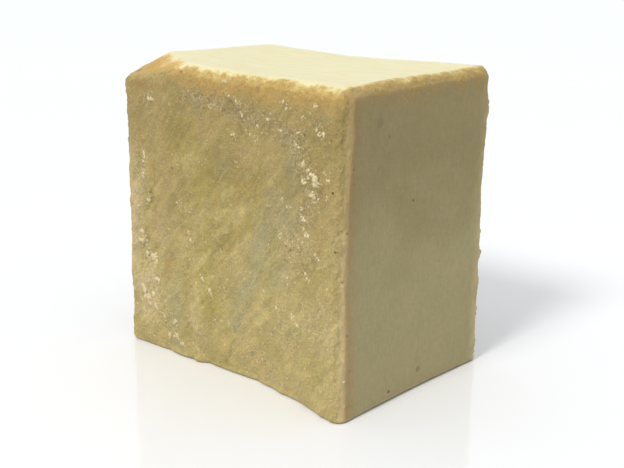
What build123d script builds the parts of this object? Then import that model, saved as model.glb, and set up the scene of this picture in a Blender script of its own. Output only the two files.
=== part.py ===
"""A hand-cut block of olive-oil soap, one solid, standing on its end.

Millimetres. +Z is up and the origin is the middle of the base. The broad hollow face looks
along -Y, the two narrow ends look along +X and -X, and the pale crown is the upper end.
"""

import os

from build123d import *

# The block before it warped and wore
width = 66.8  # along X
depth = 47.6  # along Y
height = 67.0  # along Z

# Rounding of the worn edges
edge_radius = 2.4  # the standing edges, the rim of the crown and the rim of the chip
foot_radius = 1.0  # round the foot

# The front face is hollow, most of all at the foot, where its right-hand corner flares out
crown_hollow = 0.4
foot_hollow = 3.0
hollow_centre = 7.0  # X of the deepest line
hollow_left_share = 0.7  # of the hollow, halfway to the left-hand edge
hollow_right_share = 0.4  # of the hollow, halfway to the right-hand edge
corner_flare = 1.7
corner_waist = 1.3  # how far that corner's edge has shrunk in at mid height
waist_setback_share = 0.5  # of the waist, how far the edge has also shrunk back

# The left-hand edge of the front face leans, and its foot stands back a little
left_inset = 0.4  # at the crown
left_lean = 1.7
left_setback = 0.9

# The other three upright faces
back_bulge = 0.5
end_hollow = 0.5

# The crown dips in the middle of its back edge, and its left-hand side falls away to the back
crown_dip = 1.4
dip_left_share = 0.5  # of the dip, halfway to the left-hand edge
dip_right_share = 0.2  # of the dip, halfway to the right-hand edge
left_rise = 0.6  # above the height, at the front
left_fall = 1.2  # from front to back

# The front left-hand corner of the crown is broken away along a slope
chip_run_x = 24.0  # along the front edge
chip_run_y = 13.0  # along the left-hand edge
chip_drop = 4.4  # height lost at the corner

# Levels of the sections as shares of the height, and how much of the waist each one has
levels = (0.0, 0.2, 0.45, 0.75, 1.0)
waists = (0.0, 0.5, 1.0, 0.3, 0.0)
spare = 5.0  # how far the blank and the waste run past the block

left, right = -width / 2, width / 2
front, back = -depth / 2, depth / 2


def block_section(level, waist):
    """The block's outline at one level, as a level sketch."""
    foot = 1.0 - level
    hollow = crown_hollow + (foot_hollow - crown_hollow) * foot
    shrink = corner_waist * waist
    front_left = (left + left_inset - left_lean * foot, front + left_setback * foot)
    setback = waist_setback_share * shrink
    front_right = (right - shrink, front + setback - corner_flare * foot**2)
    back_right = (right, back)
    back_left = (left, back)
    left_quarter = (front_left[0] + hollow_centre) / 2
    right_quarter = (hollow_centre + front_right[0]) / 2
    with BuildSketch(Plane.XY.offset((height + spare) * level)) as section:
        with BuildLine():
            Spline(
                front_left,
                (left_quarter, front + hollow_left_share * hollow),
                (hollow_centre, front + hollow),
                (right_quarter, front + hollow_right_share * hollow),
                front_right,
            )
            Spline(front_right, (right - end_hollow - shrink / 2, 0), back_right)
            Spline(back_right, (0, back + back_bulge), back_left)
            Spline(back_left, (left + end_hollow, 0), front_left)
        make_face()
    return section.sketch


def waste_section(y, share):
    """What is trimmed off above the crown at one depth, as an upright sketch."""
    reach = width / 2 + spare
    ceiling = height + 3 * spare
    left_height = height + left_rise - left_fall * share
    dip = crown_dip * share
    left_end = (-reach, left_height)
    flat_end = (reach, height)
    with BuildSketch(Plane.XZ.offset(-y)) as section:
        with BuildLine():
            Spline(
                left_end,
                (-reach / 2, left_height - dip_left_share * dip),
                (0, height - dip),
                (reach / 2, height - dip_right_share * dip),
                flat_end,
            )
            Polyline(flat_end, (reach, ceiling), (-reach, ceiling), left_end)
        make_face()
    return section.sketch


# The slope of the broken corner, facing up and outwards
chip_corner = Vector(left, front, height - chip_drop)
chip_along_front = Vector(left + chip_run_x, front, height) - chip_corner
chip_along_left = Vector(left, front + chip_run_y, height) - chip_corner
chip_slope = Plane(origin=chip_corner, z_dir=chip_along_front.cross(chip_along_left))

with BuildPart() as blank:
    loft([block_section(level, waist) for level, waist in zip(levels, waists)])

waste_depths = ((front - spare, 0.0), (0.0, 0.5), (back + spare, 1.0))

with BuildPart() as crown_waste:
    loft([waste_section(y, share) for y, share in waste_depths])

with BuildPart() as soap_bar:
    add(blank.part)
    add(crown_waste.part, mode=Mode.SUBTRACT)
    split(bisect_by=chip_slope, keep=Keep.BOTTOM)
    uprights = soap_bar.edges().filter_by(lambda edge: abs((edge @ 1 - edge @ 0).Z) > height / 2)
    rim_floor = height - chip_drop - crown_dip - left_fall
    rim = soap_bar.edges().filter_by(lambda edge: min((edge @ 0).Z, (edge @ 1).Z) > rim_floor)
    fillet(uprights + rim, edge_radius)
    foot_face = soap_bar.faces().sort_by(Axis.Z)[0]
    fillet(foot_face.edges(), foot_radius)

soap_bar.part.label = "soap_bar"

os.makedirs("parts", exist_ok=True)
export_step(soap_bar.part, "parts/soap_bar.step")
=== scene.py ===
"""A hand-cut block of olive-oil soap, standing on its end, dressed around its CAD frame.

Metres, in the CAD's own frame: +Z up, the origin in the middle of the base, the broad torn face
towards -Y and a smooth cut end towards +X. Marks on the block are placed in millimetres.
"""

import logging
import math
import random
from dataclasses import dataclass
from enum import Enum
from typing import Iterable, Iterator, Union

import bpy
import numpy as np
from mathutils import Matrix, Vector
from mathutils.bvhtree import BVHTree
from mathutils.kdtree import KDTree


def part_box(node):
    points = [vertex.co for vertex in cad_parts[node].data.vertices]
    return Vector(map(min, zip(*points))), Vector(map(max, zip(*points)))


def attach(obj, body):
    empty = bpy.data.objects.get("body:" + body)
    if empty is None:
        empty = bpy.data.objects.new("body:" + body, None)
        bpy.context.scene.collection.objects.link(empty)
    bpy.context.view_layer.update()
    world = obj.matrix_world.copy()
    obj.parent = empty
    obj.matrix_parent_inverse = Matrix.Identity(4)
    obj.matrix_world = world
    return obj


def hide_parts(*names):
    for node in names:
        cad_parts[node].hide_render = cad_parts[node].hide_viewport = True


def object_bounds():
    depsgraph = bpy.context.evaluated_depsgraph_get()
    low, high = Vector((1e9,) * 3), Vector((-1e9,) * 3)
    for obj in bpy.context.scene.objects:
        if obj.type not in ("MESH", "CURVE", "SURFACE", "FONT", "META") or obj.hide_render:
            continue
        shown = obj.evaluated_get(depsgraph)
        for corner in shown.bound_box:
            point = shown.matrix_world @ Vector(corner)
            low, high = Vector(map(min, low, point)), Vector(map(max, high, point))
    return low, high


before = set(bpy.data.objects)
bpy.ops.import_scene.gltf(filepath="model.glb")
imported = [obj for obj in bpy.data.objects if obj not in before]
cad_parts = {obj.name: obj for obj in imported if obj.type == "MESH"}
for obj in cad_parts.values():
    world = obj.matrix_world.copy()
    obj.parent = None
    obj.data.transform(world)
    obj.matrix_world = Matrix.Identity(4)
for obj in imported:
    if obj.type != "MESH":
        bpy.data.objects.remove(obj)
CAD_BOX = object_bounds()

LOG = logging.getLogger("soap")
NODE = "soap_bar"
BODY = "root"
MM = 0.001
KEPT_FIELDS = (
    "torn", "below", "broken", "yellow", "grey", "pale", "stain", "dab", "crumbly", "crack_shade", "crack_side",
    "edge", "strip", "brow",
)
LINE_REACH = 1.2  # millimetres each side of a hair line within which it is measured

Colour = tuple[float, float, float]
Piece = bpy.types.Object
Socket = bpy.types.NodeSocket
Field = np.ndarray
Feed = Union[Socket, float, Colour]


class Face(Enum):
    """A face of the block: its outward direction, and the two axes its marks are placed along."""

    FRONT = ((0, -1, 0), (0, 2))
    BACK = ((0, 1, 0), (0, 2))
    RIGHT = ((1, 0, 0), (1, 2))
    LEFT = ((-1, 0, 0), (1, 2))
    CROWN = ((0, 0, 1), (0, 1))

    @property
    def outward(self) -> Field:
        """The face's outward direction."""
        return np.array(self.value[0], float)

    @property
    def axes(self) -> tuple[int, int]:
        """The indices of the axes that run across and up the face."""
        return self.value[1]


class Upright(Enum):
    """A standing edge of the block, as the signs of its X and Y."""

    FRONT_LEFT = (-1, -1)
    FRONT_RIGHT = (1, -1)
    BACK_RIGHT = (1, 1)
    BACK_LEFT = (-1, 1)


class Lump(Enum):
    """The shapes of random relief: a texture's noise basis, and whether it is soft or hard."""

    SOFT = ("IMPROVED_PERLIN", "SOFT_NOISE")
    TORN = ("IMPROVED_PERLIN", "HARD_NOISE")
    CRUMB = ("VORONOI_F1", "SOFT_NOISE")


@dataclass(frozen=True)
class Patch:
    """A soft oval on a face, in millimetres, leaning in degrees anticlockwise."""

    across: float
    up: float
    half_width: float
    half_height: float
    lean: float = 0.0
    amount: float = 1.0


@dataclass(frozen=True)
class Stroke:
    """A soft line on a face through points in millimetres."""

    points: tuple[tuple[float, float], ...]
    half_width: float
    amount: float = 1.0


@dataclass(frozen=True)
class Nick:
    """A place along an edge that stands proud, or is worn back where push is negative, in millimetres."""

    at: float
    reach: float
    push: float


def ovals(*rows: tuple[float, ...]) -> tuple[Patch, ...]:
    """Makes an oval of each row: across, up, half width, half height, lean and amount."""
    return tuple(Patch(*row) for row in rows)


def strokes(*rows: tuple[float, ...]) -> tuple[Stroke, ...]:
    """Makes a line of each row: its half width and amount, then across and up for each of its points."""
    return tuple(Stroke(tuple(zip(row[2::2], row[3::2])), *row[:2]) for row in rows)


def nicks(*rows: tuple[float, ...]) -> tuple[Nick, ...]:
    """Makes a nick of each row: where it lies, its reach and its push."""
    return tuple(Nick(*row) for row in rows)


@dataclass(frozen=True)
class Relief:
    """Random relief along the normals: its lumps' size along X, Y and Z, and its depth, in millimetres."""

    name: str
    lump: Lump
    size: tuple[float, float, float]
    depth: float
    lean: float = 0.0
    detail: int = 2


def smooth_step(value: Field, start: float, full: float) -> Field:
    """Goes smoothly from 0 at one value to 1 at another."""
    share = np.clip((value - start) / (full - start), 0.0, 1.0)
    return share * share * (3.0 - 2.0 * share)


class Skin:
    """The points of a mesh in millimetres, and the fields that are laid over them."""

    def __init__(self, piece: Piece) -> None:
        """Reads a piece's points and normals.

        Args:
            piece: The mesh object, at the origin.
        """
        self.piece = piece
        mesh = piece.data
        count = len(mesh.vertices)
        points = np.zeros(count * 3)
        normals = np.zeros(count * 3)
        mesh.vertices.foreach_get("co", points)
        mesh.vertex_normals.foreach_get("vector", normals)
        self.points = points.reshape(-1, 3) / MM
        self.normals = normals.reshape(-1, 3)

    def facing(self, face: Face, start: float = 0.6, full: float = 0.9) -> Field:
        """How much each point looks the way a face does."""
        return smooth_step(self.normals @ face.outward, start, full)

    def place(self, face: Face) -> tuple[Field, Field]:
        """Gives where each point lies across and up a face, with a slight wander so that marks aren't neat.

        Args:
            face: The face.

        Returns:
            The distances across and up, in millimetres.
        """
        across = self.points[:, face.axes[0]]
        up = self.points[:, face.axes[1]]
        wander = 0.35 * np.sin(1.3 * up + 0.7 * across) + 0.2 * np.sin(3.1 * up - 1.9 * across + 1.0)
        drift = 0.35 * np.sin(1.1 * across - 0.8 * up + 2.0) + 0.2 * np.sin(2.7 * across + 2.3 * up)
        return across + wander, up + drift

    def patches(self, face: Face, marks: Iterable[Patch]) -> Field:
        """Lays soft ovals over a face, the strongest winning where they meet.

        Args:
            face: The face they lie on.
            marks: The ovals.

        Returns:
            The field, from 0 to the strongest mark's amount.
        """
        across, up = self.place(face)
        total = np.zeros(len(across))
        for mark in marks:
            turn = math.radians(mark.lean)
            along = (across - mark.across) * math.cos(turn) + (up - mark.up) * math.sin(turn)
            aside = (up - mark.up) * math.cos(turn) - (across - mark.across) * math.sin(turn)
            reach = np.hypot(along / mark.half_width, aside / mark.half_height)
            total = np.maximum(total, mark.amount * (1.0 - smooth_step(reach, 0.2, 1.0)))
        return total * self.facing(face, 0.3, 0.6)

    def legs(self, face: Face, marks: Iterable[Stroke]) -> Iterator[tuple[Stroke, Field, Field]]:
        """Measures from each straight leg of some lines on a face.

        Args:
            face: The face they lie on.
            marks: The lines.

        Yields:
            The line, how far each point is from the leg in millimetres, and the side it is on, as a sign.
        """
        spot = np.stack(self.place(face), axis=1)
        for mark in marks:
            for start, end in zip(mark.points, mark.points[1:]):
                first = np.array(start)
                run = np.array(end) - first
                share = np.clip((spot - first) @ run / (run @ run), 0.0, 1.0)
                gap = spot - first - share[:, None] * run
                yield mark, np.linalg.norm(gap, axis=1), np.sign(run[0] * gap[:, 1] - run[1] * gap[:, 0])

    def strokes(self, face: Face, marks: Iterable[Stroke]) -> Field:
        """Lays soft lines over a face, the strongest winning where they meet.

        Args:
            face: The face they lie on.
            marks: The lines.

        Returns:
            The field, from 0 to the strongest mark's amount.
        """
        total = np.zeros(len(self.points))
        for mark, reach, _ in self.legs(face, marks):
            total = np.maximum(total, mark.amount * (1.0 - smooth_step(reach / mark.half_width, 0.1, 1.0)))
        return total * self.facing(face, 0.3, 0.6)

    def lines(self, face: Face, marks: Iterable[Stroke]) -> tuple[Field, Field]:
        """Measures hair lines on a face, so that they stay finer than the mesh.

        Args:
            face: The face they lie on.
            marks: The lines, of which no two cross.

        Returns:
            The distance from the nearest line, in millimetres, negative on one side of it, and its amount.
        """
        aside = np.full(len(self.points), LINE_REACH)
        amount = np.zeros(len(aside))
        for mark, reach, side in self.legs(face, marks):
            nearer = reach < np.abs(aside)
            aside = np.where(nearer, reach * side, aside)
            amount = np.where(nearer, mark.amount * (1.0 - smooth_step(reach, 0.5, LINE_REACH)), amount)
        return aside, amount * self.facing(face, 0.3, 0.6)

    def keep(self, name: str, field: Field) -> None:
        """Stores a field on the mesh, for its material to read."""
        attribute = self.piece.data.attributes.new(name, "FLOAT", "POINT")
        attribute.data.foreach_set("value", field.astype(np.float32))

    def group(self, name: str, field: Field) -> None:
        """Stores a field as a vertex group, for a modifier to read.

        Args:
            name: The group's name.
            field: One weight for each point, from 0 to 1.
        """
        group = self.piece.vertex_groups.new(name=name)
        for index in np.flatnonzero(field > 0.004):
            group.add([int(index)], float(field[index]), "REPLACE")


def direction(azimuth: float, elevation: float) -> Vector:
    """Points from the block towards a light or a camera."""
    turn, rise = math.radians(azimuth), math.radians(elevation)
    return Vector((math.sin(turn) * math.cos(rise), -math.cos(turn) * math.cos(rise), math.sin(rise)))


def deselect_all() -> None:
    """Leaves object mode with nothing selected."""
    if bpy.context.object and bpy.context.object.mode != "OBJECT":
        bpy.ops.object.mode_set(mode="OBJECT")
    bpy.ops.object.select_all(action="DESELECT")


def activate(piece: Piece) -> None:
    """Makes one piece the only selected object, and the active one.

    Args:
        piece: The object that the next operators act on.
    """
    deselect_all()
    piece.select_set(True)
    bpy.context.view_layer.objects.active = piece


def open_with(piece: Piece, kind: str, chosen: Field) -> None:
    """Opens a piece in edit mode with only some of its parts selected.

    Args:
        piece: The mesh object.
        kind: VERT, EDGE or FACE.
        chosen: Whether each vertex, edge or face is selected.
    """
    activate(piece)
    bpy.ops.object.mode_set(mode="EDIT")
    bpy.ops.mesh.select_mode(type=kind)
    bpy.ops.mesh.select_all(action="DESELECT")
    bpy.ops.object.mode_set(mode="OBJECT")
    mesh = piece.data
    parts = {"VERT": mesh.vertices, "EDGE": mesh.edges, "FACE": mesh.polygons}[kind]
    parts.foreach_set("select", chosen)
    bpy.ops.object.mode_set(mode="EDIT")


def surface_of(piece: Piece) -> BVHTree:
    """Readies a piece's surface for casting rays onto it."""
    bpy.context.view_layer.update()
    return BVHTree.FromObject(piece, bpy.context.evaluated_depsgraph_get())


@dataclass
class SoapBlock:
    """The block itself: a fine blank wrapped onto the CAD block, then torn, crumbled and worn."""

    coarse: float = 1.32  # millimetres between the first cuts, which are halved over the whole block
    fine_depth: float = 4.0  # how far behind the torn face's plane the cells are halved again
    edge_depth: float = 2.8  # and how far from the ragged edges of the right-hand end
    foot_clear: float = 1.6  # height over which the relief comes in above the foot
    crown_cosine: float = 0.975  # of the slope at which the crown ends
    rim_inset: float = 3.4  # how far inside the right-hand end the crown's pale skin ends
    wraps: int = 5
    evening: int = 30  # rounds of smoothing between two wraps
    rim_reach: float = 12.0  # how far from the crown its distance is measured

    # The torn front, across and up it
    crumbly_strokes: tuple[Stroke, ...] = strokes(
        (4, 0.8, -12, 60.5, -3, 60.5, 6, 59, 15, 57.5, 22, 54.5), (4.2, 1, 19, 57, 22, 50, 25, 46, 22, 40),
        (2.6, 0.7, -28, 46, -27.5, 40, -28.5, 31, -26.5, 20, -27.5, 12),
        (2.6, 0.7, -24, 17, -20.5, 6, -18, 3),
    )
    crumbly_patches: tuple[Patch, ...] = ovals(
        (24.5, 48, 4.4, 6, 10, 1), (26.5, 60, 5, 3, 0, 0.5), (-24.5, 58.5, 3.4, 3.4, 0, 0.7),
        (3.5, 50.5, 4, 3, 0, 0.7), (20, 33, 8, 7, 0, 0.8), (25, 20, 6, 9, 0, 0.6), (16, 15, 8, 7, 0, 0.5),
        (-4, 27, 6, 6, 0, 0.35), (8, 6, 9, 4, 0, 0.45), (-11, 8, 5, 6, 0, 0.5),
    )
    yellow_patches: tuple[Patch, ...] = ovals(
        (-15, 51.5, 9, 7, 20, 0.8), (-7, 43.5, 12, 7.5, 45, 1), (-4, 31, 12, 7, 55, 1),
        (-8, 15, 5, 9.5, 0, 0.9), (6, 44, 9, 4.5, 45, 0.8), (-31.6, 13, 1.8, 11, 0, 0.9),
        (31.4, 24, 2, 16, 0, 0.4),
    )
    yellow_strokes: tuple[Stroke, ...] = strokes(
        (2.6, 1, -11.7, 19.1, -3.1, 27.9, 5.8, 35.7), (2.4, 0.9, -3.1, 37.2, 3.1, 42.3, 9.3, 47),
    )
    grey_patches: tuple[Patch, ...] = ovals(
        (19, 50, 3, 9, 0, 1), (16.5, 39, 6, 7, 0, 0.8), (-18.6, 12.5, 4, 10, -8, 1),
        (-20, 24.4, 3.5, 4, 0, 0.6), (-2.6, 47, 5, 3, 30, 0.7), (-7.7, 60.4, 6, 2.6, 0, 0.6),
        (3, 58.6, 6, 3, 0, 0.7), (14, 28, 6, 8, 0, 0.6), (-18, 2.4, 6, 2.4, 0, 0.7),
        (10, 2.6, 5, 2, 0, 0.5),
    )
    grey_strokes: tuple[Stroke, ...] = strokes(
        (2.8, 1, 17.6, 56, 19.5, 51, 18.5, 45, 15.7, 41),
        (4.4, 1, 14, 43, 11, 36.8, 6.9, 27.2, 3.5, 20.8, 0.7, 12.3),
    )
    pale_patches: tuple[Patch, ...] = ovals(
        (-31.5, 30, 5, 32, 0, 1), (-26.4, 14, 6, 13, 0, 0.9), (-22, 31, 6, 9, -20, 0.5),
        (-12, 10, 2.6, 12, 0, 0.5), (31.5, 36, 3.6, 16, 0, 0.35), (31.5, 16, 4.4, 14, 0, 0.4),
        (33.2, 4.6, 2.4, 4, 0, 0.8), (20, 16, 12, 10, 0, 0.1),
    )
    stains: tuple[Patch, ...] = ovals(
        (-27, 61.2, 4.6, 1.5, 4, 1), (-20.5, 61.6, 4.4, 1.3, 0, 0.6), (-31, 51.8, 1.8, 2.8, 0, 0.8),
        (-30.6, 56.6, 1.7, 2.8, 0, 0.4), (-28.6, 64.2, 1.6, 1.2, 0, 0.9), (-6, 62.6, 6, 1.6, -6, 0.3),
        (6.6, 64, 3, 1.4, 0, 0.5), (27.4, 45, 1.4, 3, 10, 0.35), (26, 37, 4, 3, 0, 0.25),
        (29, 26, 3, 4, 0, 0.2), (8, 4.6, 5, 2.4, 0, 0.3), (-19.6, 21.5, 2.6, 7, -8, 0.6),
        (-22.6, 33, 2.4, 5, -16, 0.35), (-4.5, 39.2, 4, 3, 45, 0.35), (2.6, 36, 3, 2.4, 50, 0.3),
        (3.1, 42.7, 5, 3, 45, 0.25),
    )
    cracks: tuple[Stroke, ...] = strokes(
        (1, 0.6, 1.6, 14.5, 0.4, 10.6, -1, 7.4, -2.3, 4.4, -3.2, 1.2),
        (1, 0.9, 31.2, 39.2, 29.6, 37.2, 28.6, 36.2, 27.2, 34, 25.9, 32.7),
        (1, 0.5, -16.5, 31.5, -19.8, 29.2, -22.2, 26.6, -23.9, 23.6, -24.8, 20.9),
        (1, 0.45, 13.2, 36, 12, 32.6, 10.4, 29), (1, 0.3, 22, 26, 19.4, 22.4, 17.6, 20.6, 16.4, 17),
        (1, 0.7, -22.8, 46, -23.4, 41.5, -24.8, 35.5, -26, 33), (1, 0.7, -28.4, 33, -29.6, 29, -30, 27),
    )
    grooves: tuple[Stroke, ...] = strokes(
        (0.7, 0.4, 1.6, 14.5, 0.4, 10.6, -1, 7.4, -3.2, 1.2),
        (0.9, 0.5, 31.2, 39.2, 28.6, 36.2, 25.9, 32.7),
        (1.4, 0.7, -16.5, 31.5, -19.8, 29.2, -23.9, 23.6, -24.8, 20.9),
        (1.3, 0.5, -22.4, 47, -23, 41.5, -24.4, 35.5, -25.6, 33),
        (1.5, 0.8, -13.4, 23, -13.8, 16, -14.2, 8.5, -13, 2), (1.3, 0.4, -29.5, 61, -26.5, 60.6, -23, 61.2),
        (1.2, 0.5, 14, 36, 10.8, 29), (0.8, 0.8, -1.2, 61.4, 2.8, 59.4), (1.5, 0.8, -14, 33, -11, 35),
        (1.5, 0.5, -9, 26, -6, 28.6),
    )
    ridges: tuple[Stroke, ...] = strokes(
        (0.7, 1, -0.8, 62.6, 1.5, 61.6, 4.2, 60.6), (0.7, 0.9, 3.4, 58.4, 3.9, 56.6, 5.2, 55.4, 5.8, 56.4),
        (0.7, 1, 0, 55.4, 0.8, 54.2, 2.6, 53.6), (1.3, 0.7, -24.4, 46, -24.9, 40.5, -26.2, 35),
        (1.6, 0.5, -15.6, 22, -16.2, 14, -16, 7),
        (0.8, 0.9, -29.8, 28.4, -28.8, 29.4, -27.2, 28.8, -26.8, 27, -28, 25.6, -29.4, 26),
        (1, 1, 22.2, 50.8, 24, 49.4, 25.4, 48.2, 25.6, 47.2), (0.9, 0.8, 22.2, 48, 24.2, 45.2),
        (1.8, 0.5, 31.8, 44, 31.6, 36, 32, 28), (0.8, 0.8, -13.4, 30.8, -13, 29.2, -11.8, 28),
        (1, 0.5, 28, 29, 30, 25, 29.4, 21),
    )

    # Pale smears of soap, slightly proud
    dabs: tuple[Stroke, ...] = strokes(
        (1.3, 0.7, -13.9, 45.7, -11.3, 47.9), (1.3, 0.8, -10.4, 46.6, -6.8, 50.3),
        (1.2, 0.6, 5.1, 45.2, 7.5, 47.7), (1.2, 0.8, 11.4, 45, 15.9, 49.1), (1.4, 0.9, -2.1, 39.7, 1, 42.1),
        (1.4, 0.8, 3, 37.8, 6.9, 40.7), (1.4, 0.9, -4.6, 34.8, -0.9, 37.7), (1.6, 1, 1.5, 35.3, 5.1, 39.3),
        (1.3, 0.8, -4.7, 30.4, -1.6, 33.2), (1.3, 0.8, -10, 23.8, -7.3, 26.6),
        (1.2, 0.6, 3.2, 30.7, 5.6, 33), (1.4, 0.7, -9.5, 17.9, -6.8, 21.3),
        (1.5, 0.7, -11.7, 19.1, -9.9, 12, -11.4, 8), (1.4, 0.5, -17.4, 20.7, -14.6, 24.1),
        (1.2, 0.6, -1.4, 26.2, 1.4, 29.9), (1.3, 0.5, -20.3, 14.8, -18.1, 19.1),
        (1.5, 0.6, 6.1, 12.7, 9.7, 16.8), (1.4, 0.6, 9.7, 20.3, 12, 23.5),
        (1.5, 0.6, 14.9, 15.1, 18.3, 18.6), (1.3, 0.6, 20.3, 33.5, 23.5, 36.7),
        (1.2, 0.6, 26.2, 31.1, 28.3, 34.8), (1.4, 0.6, -1.9, 14, -0.6, 9.4),
        (1.4, 0.6, 26.8, 24.4, 29.6, 28.4),
    )

    # How the standing edges are worn, up each one
    edge_nicks: tuple[tuple[Upright, tuple[Nick, ...]], ...] = (
        (Upright.BACK_RIGHT, nicks(
            (63, 2.2, -0.5), (58.5, 2.6, 0.6), (52.5, 1.6, 0.2), (40, 3, -0.6), (34, 2.2, -0.4),
            (30, 1.2, 0.25), (25.4, 0.9, 0.7), (23, 0.9, -0.5), (18.8, 2.2, 0.45), (10, 3, 0.3),
            (4, 2.4, 0.5),
        )),
        (Upright.FRONT_RIGHT, nicks(
            (63, 2.6, 0.5), (55, 2.4, -0.2), (47, 2.6, -0.5), (40.5, 1.6, 0.3), (28, 3, -0.4),
            (20, 1.6, 0.3), (12, 2.4, 0.4),
        )),
        (Upright.FRONT_LEFT, nicks(
            (60.8, 1.2, 0.5), (57.4, 1.2, -0.3), (54, 1.4, 0.2), (50, 1.8, -0.4), (40, 2.4, 0.2),
            (26, 1.4, -0.5), (17.5, 2.4, 0.3), (12.2, 0.9, -0.4),
        )),
        (Upright.BACK_LEFT, nicks(
            (56, 3, -0.4), (44, 2.4, 0.4), (30, 2, -0.5), (14, 3, 0.4),
        )),
    )
    nick_spread: float = 3.2  # how far round the edge a nick reaches

    # How the foot of the torn front is worn, along it
    foot_nicks: tuple[Nick, ...] = nicks(
        (-27, 5, -0.5), (-21.2, 1.2, -0.4), (-16, 3.2, 0.5), (-11.4, 1.3, 0.8), (-8.6, 0.9, -0.4),
        (-2, 3, 0.2), (5.6, 1.4, -0.4), (14, 1.2, 0.3), (20, 2.4, -0.3), (27.5, 1.2, 0.3),
    )
    foot_spread: float = 3.4  # how far above the foot they reach
    softening: int = 12  # rounds of smoothing of the broken corner

    def build(self) -> Piece:
        """Makes the block.

        Returns:
            The finished mesh object, with its fields and without a material.
        """
        piece = self.make_blank()
        self.wrap(piece)
        skin = Skin(piece)
        fields = self.make_fields(skin)
        self.roughen(piece, skin, fields)
        self.level_foot(piece)
        piece.vertex_groups.clear()
        for name in KEPT_FIELDS:
            skin.keep(name, fields[name])
        activate(piece)
        bpy.ops.object.shade_smooth()
        return piece

    def make_blank(self) -> Piece:
        """Makes a box of fine square cells round the CAD block, finest on the torn face and its edges.

        Returns:
            The box.
        """
        low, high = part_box(NODE)
        deselect_all()
        bpy.ops.mesh.primitive_cube_add(size=1.0, location=(0.0, 0.0, 0.0))
        piece = bpy.context.object
        piece.name = "soap_block"
        piece.data.transform(Matrix.LocRotScale((low + high) / 2, None, high - low))
        for axis, length in enumerate(high - low):
            self.cut_along(piece, axis, length)
        for everywhere in (True, False):
            chosen = [everywhere or self.is_fine(cell.center, low, high) for cell in piece.data.polygons]
            open_with(piece, "FACE", np.array(chosen))
            bpy.ops.mesh.subdivide(number_cuts=1)
            bpy.ops.object.mode_set(mode="OBJECT")
        return piece

    def is_fine(self, centre: Vector, low: Vector, high: Vector) -> bool:
        """Tells whether a cell lies on the torn face or by a ragged edge of the right-hand end."""
        right, back, top = (value < self.edge_depth * MM for value in high - centre)
        return centre.y < low.y + self.fine_depth * MM or (right and (back or top))

    def cut_along(self, piece: Piece, axis: int, length: float) -> None:
        """Cuts the blank across one axis, at even steps.

        Args:
            piece: The blank.
            axis: The index of the axis.
            length: The blank's length along it, in metres.
        """
        ends = [[piece.data.vertices[index].co[axis] for index in edge.vertices] for edge in piece.data.edges]
        open_with(piece, "EDGE", np.abs(np.diff(ends, axis=1)[:, 0]) > length / 2)
        bpy.ops.mesh.subdivide(number_cuts=round(length / MM / self.coarse) - 1)
        bpy.ops.object.mode_set(mode="OBJECT")

    def wrap(self, piece: Piece) -> None:
        """Wraps the blank onto the CAD block, evening out the cells that crowd along the crown's edge.

        Args:
            piece: The blank.
        """
        activate(piece)
        for turn in range(self.wraps):
            if turn:
                even = piece.modifiers.new("even", "SMOOTH")
                even.factor = 0.5
                even.iterations = self.evening
                bpy.ops.object.modifier_apply(modifier="even")
            shrink = piece.modifiers.new("wrap", "SHRINKWRAP")
            shrink.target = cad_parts[NODE]
            shrink.wrap_method = "NEAREST_SURFACEPOINT"
            bpy.ops.object.modifier_apply(modifier="wrap")

    def make_fields(self, skin: Skin) -> dict[str, Field]:
        """Works out where each kind of mark lies.

        Args:
            skin: The wrapped block's skin.

        Returns:
            The fields by name, each from 0 to 1 apart from below and crack_side, which are in millimetres.
        """
        side, depth, up = skin.points.T
        broken = smooth_step(skin.normals[:, 2], 0.5, 0.85) * smooth_step(-skin.normals[:, 0], 0.07, 0.13)
        broken *= smooth_step(-side, 6.0, 12.0)
        crack_side, crack_shade = skin.lines(Face.FRONT, self.cracks)
        end = skin.facing(Face.RIGHT, 0.5, 0.9)
        near_front = 1.0 - smooth_step(depth - depth.min(), 3.0, 6.0)
        near_back = smooth_step(depth, depth.max() - 5.5, depth.max() - 1.0)
        return {
            "torn": skin.facing(Face.FRONT, 0.62, 0.9),
            "below": self.below_crown(skin),
            "edge": smooth_step(1.0 - np.abs(skin.normals).max(axis=1), 0.01, 0.12),
            "broken": broken,
            "yellow": self.over_front(skin, self.yellow_patches, self.yellow_strokes),
            "grey": self.over_front(skin, self.grey_patches, self.grey_strokes),
            "pale": self.over_front(skin, self.pale_patches, ()),
            "stain": self.over_front(skin, self.stains, ()),
            "dab": skin.strokes(Face.FRONT, self.dabs),
            "crumbly": self.over_front(skin, self.crumbly_patches, self.crumbly_strokes),
            "crack_shade": crack_shade,
            "crack_side": crack_side,
            "groove": skin.strokes(Face.FRONT, self.grooves),
            "ridge": skin.strokes(Face.FRONT, self.ridges),
            "strip": end * near_front,
            "brow": end * near_back,
        }

    def below_crown(self, skin: Skin) -> Field:
        """Measures how far each point lies from the crown.

        Args:
            skin: The wrapped block's skin.

        Returns:
            The distances in millimetres, none over rim_reach.
        """
        pale = skin.points[:, 0] < skin.points[:, 0].max() - self.rim_inset
        crown = np.flatnonzero(pale & (skin.normals[:, 2] > self.crown_cosine))
        tree = KDTree(len(crown))
        for index in crown:
            tree.insert(skin.points[index], int(index))
        tree.balance()
        reach = np.full(len(skin.points), self.rim_reach)
        for index in np.flatnonzero(skin.points[:, 2] > skin.points[:, 2].max() - self.rim_reach):
            reach[index] = min(tree.find(skin.points[index])[2], self.rim_reach)
        return reach

    def over_front(self, skin: Skin, ovals: Iterable[Patch], lines: Iterable[Stroke]) -> Field:
        """Lays ovals and lines together over the torn face."""
        return np.maximum(skin.patches(Face.FRONT, ovals), skin.strokes(Face.FRONT, lines))

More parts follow.
